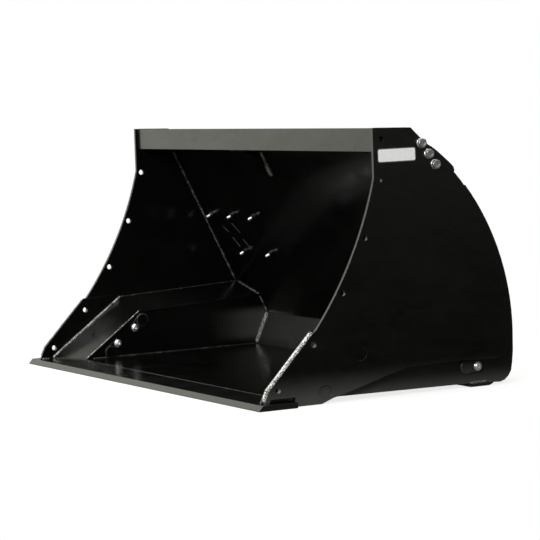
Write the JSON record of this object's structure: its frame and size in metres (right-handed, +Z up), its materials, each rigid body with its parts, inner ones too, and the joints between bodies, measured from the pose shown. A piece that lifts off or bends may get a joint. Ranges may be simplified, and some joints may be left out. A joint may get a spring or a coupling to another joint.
{
  "type": "skid steer high-tip bucket",
  "caption": "Loader bucket that rolls forward about low pivot pins on a rear quick-attach frame, driven by hydraulic cylinders lying in tunnels in its lower corners.",
  "frame": {"origin": "centre of the footprint on the ground", "axes": "+X to the right seen from the open mouth, +Y to the rear, +Z up"},
  "size_m": [2.07, 1.1208, 0.94],
  "materials": {
    "shell_paint": "gloss black enamel over welded plate",
    "frame_paint": "gloss black enamel",
    "edge_steel": "black enamel over wear-resistant plate, polished at the edges",
    "cylinder_paint": "gloss black enamel",
    "gland_steel": "machined steel, lightly oiled",
    "rod_chrome": "hard chrome",
    "pin_steel": "turned steel, black paint on the exposed face",
    "zinc_plate": "bright zinc plating",
    "rubber": "matt black"
  },
  "bodies": {
    "rear_frame": {"arm_outer_left": "frame_paint", "arm_outer_right": "frame_paint", "arm_inner_left": "frame_paint", "arm_inner_right": "frame_paint", "arm_web_left": "frame_paint", "arm_web_right": "frame_paint", "pivot_tube_left": "frame_paint", "pivot_tube_right": "frame_paint", "base_pin_left": "pin_steel", "base_pin_right": "pin_steel", "base_pin_bolts": "zinc_plate", "skid_shoe_left": "edge_steel", "skid_shoe_right": "edge_steel", "frame_cap_left": "frame_paint", "frame_cap_right": "frame_paint", "lower_crossbeam": "frame_paint", "upper_crossbeam": "frame_paint", "quick_attach_plate": "frame_paint", "quick_attach_shelf": "frame_paint", "quick_attach_ribs": "frame_paint"},
    "bucket": {"side_plate_left": "shell_paint", "side_plate_right": "shell_paint", "side_liner_left": "shell_paint", "side_liner_right": "shell_paint", "floor_plate": "shell_paint", "back_plate": "shell_paint", "top_beam": "shell_paint", "lip_gusset": "shell_paint", "cutting_edge": "edge_steel", "wear_strips": "edge_steel", "tunnel_cover_left": "shell_paint", "tunnel_cover_right": "shell_paint", "tunnel_wall_left": "shell_paint", "tunnel_wall_right": "shell_paint", "pivot_pin_left": "pin_steel", "pivot_pin_right": "pin_steel", "rod_pin_ends_left": "pin_steel", "rod_pin_ends_right": "pin_steel", "pin_keeper_bolts": "zinc_plate", "stop_bracket_left": "shell_paint", "stop_bracket_right": "shell_paint", "stop_bolts": "zinc_plate", "stop_nuts": "zinc_plate", "buffer_pad_left": "rubber", "buffer_pad_right": "rubber", "buffer_bolts": "zinc_plate", "buffer_nuts": "zinc_plate"},
    "cylinder_left": {"barrel_tube_left": "cylinder_paint", "gland_left": "gland_steel"},
    "piston_rod_left": {"rod_left": "rod_chrome", "piston_left": "gland_steel", "rod_pin_left": "pin_steel"},
    "cylinder_right": {"barrel_tube_right": "cylinder_paint", "gland_right": "gland_steel"},
    "piston_rod_right": {"rod_right": "rod_chrome", "piston_right": "gland_steel", "rod_pin_right": "pin_steel"}
  },
  "joints": [
    {"name": "bucket_tip", "type": "hinge", "parent": "rear_frame", "child": "bucket", "pos_m": [0, -0.28339, 0.04], "axis": [1, 0, 0], "range_deg": [0, 90]},
    {"name": "cylinder_swing_left", "type": "hinge", "parent": "rear_frame", "child": "cylinder_left", "pos_m": [-0.907, 0.30261, 0.074], "axis": [1, 0, 0], "range_deg": [0, 2.29]},
    {"name": "rod_slide_left", "type": "slide", "parent": "cylinder_left", "child": "piston_rod_left", "axis": [0, -0.9812, 0.1931], "range_m": [0, 0.26503]},
    {"name": "cylinder_swing_right", "type": "hinge", "parent": "rear_frame", "child": "cylinder_right", "pos_m": [0.907, 0.30261, 0.074], "axis": [1, 0, 0], "range_deg": [0, 2.29]},
    {"name": "rod_slide_right", "type": "slide", "parent": "cylinder_right", "child": "piston_rod_right", "axis": [0, -0.9812, 0.1931], "range_m": [0, 0.26503]}
  ],
  "couplings": [
    {"joint": "cylinder_swing_left", "follows": "bucket_tip", "ratio": 0.025464},
    {"joint": "rod_slide_left", "follows": "bucket_tip", "m_per_rad": 0.16872},
    {"joint": "cylinder_swing_right", "follows": "bucket_tip", "ratio": 0.025464},
    {"joint": "rod_slide_right", "follows": "bucket_tip", "m_per_rad": 0.16872}
  ]
}
